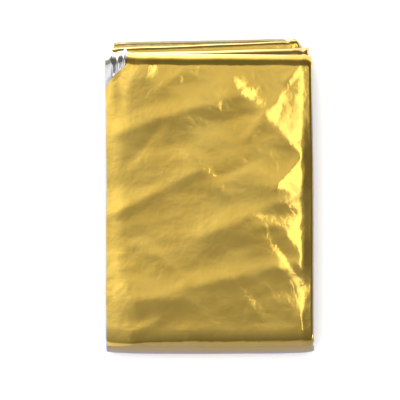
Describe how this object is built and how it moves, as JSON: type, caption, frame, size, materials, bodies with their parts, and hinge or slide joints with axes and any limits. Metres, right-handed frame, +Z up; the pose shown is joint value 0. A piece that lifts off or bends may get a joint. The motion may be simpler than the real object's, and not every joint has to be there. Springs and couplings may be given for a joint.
{
  "type": "emergency foil blanket",
  "caption": "Folded emergency foil blanket: one sheet of metallised film, gold outside and silver inside, halved over and over into a flat oblong pack.",
  "frame": {"origin": "the middle of the underside that the pack rests on", "axes": "+X across the pack, +Y to its loose end with the stepped folds, +Z up out of its face"},
  "size_m": [0.0883, 0.1341, 0.0211],
  "materials": {
    "foil": "mirror-bright metallised plastic film, gold on the side that shows and silver on the other, finely creased"
  },
  "bodies": {
    "root": {"foil_blanket": "foil"}
  },
  "joints": []
}
